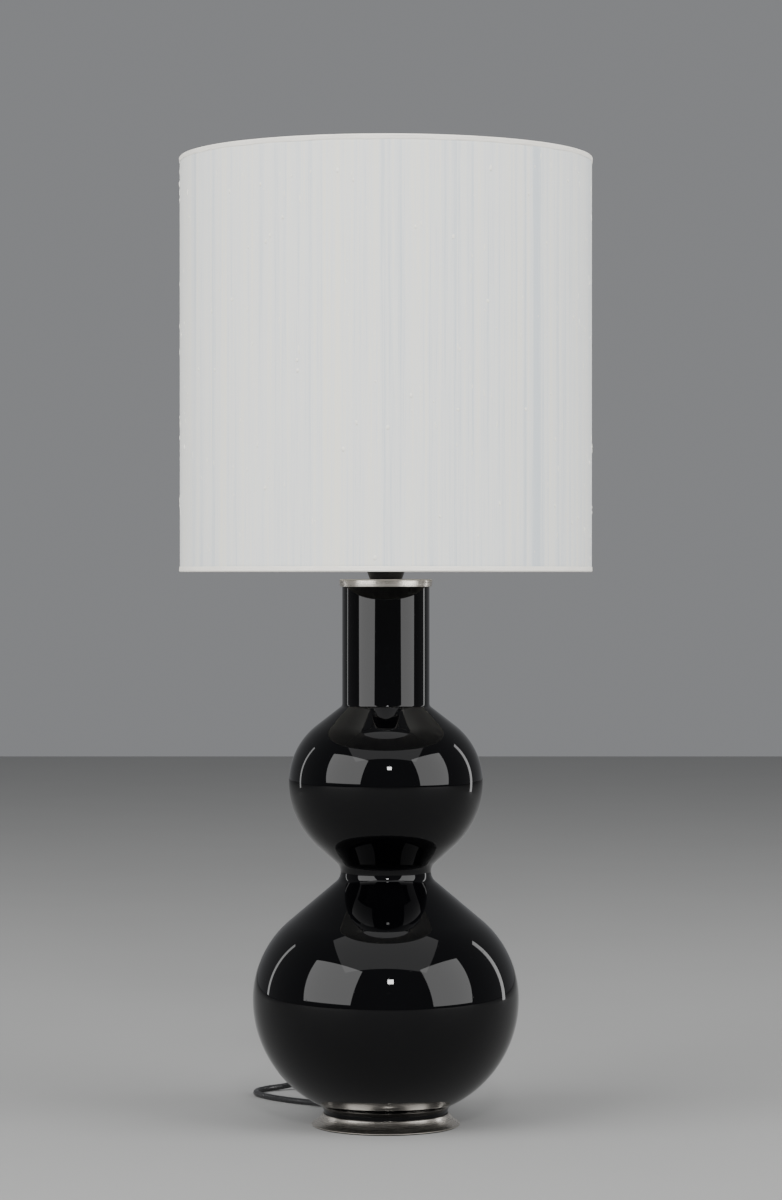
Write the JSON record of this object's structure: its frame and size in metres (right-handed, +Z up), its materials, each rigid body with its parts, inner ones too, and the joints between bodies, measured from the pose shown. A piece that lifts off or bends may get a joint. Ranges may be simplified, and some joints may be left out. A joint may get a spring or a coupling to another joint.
{
  "type": "table lamp with shade",
  "caption": "Table lamp with a gloss black double gourd body on a flared metal foot and a tall straight drum shade.",
  "frame": {"origin": "centre of the felt pad's underside, on the surface that the lamp stands on", "axes": "+Z up along the lamp's axis, -Y the front, +Y the side where the cord leaves"},
  "size_m": [0.3999, 0.444, 0.9362],
  "materials": {
    "black_glass": "high gloss",
    "nickel": "satin",
    "silk": "slubby woven silk",
    "hem_tape": "folded tape",
    "styrene": "smooth",
    "white_wire": "satin",
    "black_plastic": "moulded",
    "porcelain": "fired, fine grain",
    "brass": "stamped",
    "steel": "zinc plated",
    "iron": "as cast",
    "felt": "felt",
    "rubber": "matte",
    "cord_jacket": "smooth jacket",
    "wire_insulation": "smooth",
    "bulb_glass": "clear",
    "bulb_metal": "plated",
    "bulb_insulation": "glassy",
    "filament": "coated"
  },
  "bodies": {
    "stand": {"felt_pad": "felt", "foot_ring": "nickel", "base_weight": "iron", "strain_relief": "rubber", "rod": "steel", "rod_washer": "steel", "rod_nut": "steel", "inner_leads": "wire_insulation", "seat_ring": "rubber", "glass_body": "black_glass", "neck_bung": "rubber", "neck_cap": "nickel", "holder_cap": "black_plastic", "lock_screw": "steel", "holder_insert": "porcelain", "holder_shell": "black_plastic", "centre_contact": "brass", "side_contact": "brass", "cord_lead": "cord_jacket", "cord_feed": "cord_jacket", "cord_coil": "cord_jacket", "cord_tail": "cord_jacket", "cord_tie": "rubber", "switch_base": "black_plastic", "switch_cover": "black_plastic", "switch_screws": "steel", "switch_contacts": "brass", "plug_boot": "rubber", "plug_body": "black_plastic", "plug_sleeves": "black_plastic", "plug_pins": "bulb_metal"},
    "shade": {"shade_cover": "silk", "shade_liner": "styrene", "top_ring": "white_wire", "bottom_ring": "white_wire", "spider": "white_wire", "top_hem": "hem_tape", "bottom_hem": "hem_tape"},
    "shade_nut": {"shade_ring": "black_plastic"},
    "bulb_tip": {"bulb_contact": "bulb_metal"},
    "bulb": {"bulb_insulator": "bulb_insulation", "bulb_cap": "bulb_metal", "bulb_glass": "bulb_glass", "bulb_stem": "bulb_glass", "bulb_filaments": "filament"},
    "rocker": {"switch_rocker": "black_plastic"}
  },
  "joints": [
    {"name": "shade_turn", "type": "hinge", "parent": "stand", "child": "shade", "pos_m": [0, 0, 0.56], "axis": [0, 0, 1], "continuous": true},
    {"name": "ring_turn", "type": "hinge", "parent": "stand", "child": "shade_nut", "pos_m": [0, 0, 0.567], "axis": [0, 0, 1], "range_deg": [0, 720]},
    {"name": "bulb_rise", "type": "slide", "parent": "stand", "child": "bulb_tip", "axis": [0, 0, 1], "range_m": [0, 0.0273]},
    {"name": "bulb_turn", "type": "hinge", "parent": "bulb_tip", "child": "bulb", "pos_m": [0, 0, 0.56], "axis": [0, 0, 1], "range_deg": [0, 2700]},
    {"name": "switch_rock", "type": "hinge", "parent": "stand", "child": "rocker", "pos_m": [-0.048, 0.232, 0.0135], "axis": [0, 1, 0], "range_deg": [-16, 0]}
  ],
  "couplings": [
    {"joint": "bulb_rise", "follows": "bulb_turn", "m_per_rad": 0.00057757}
  ]
}
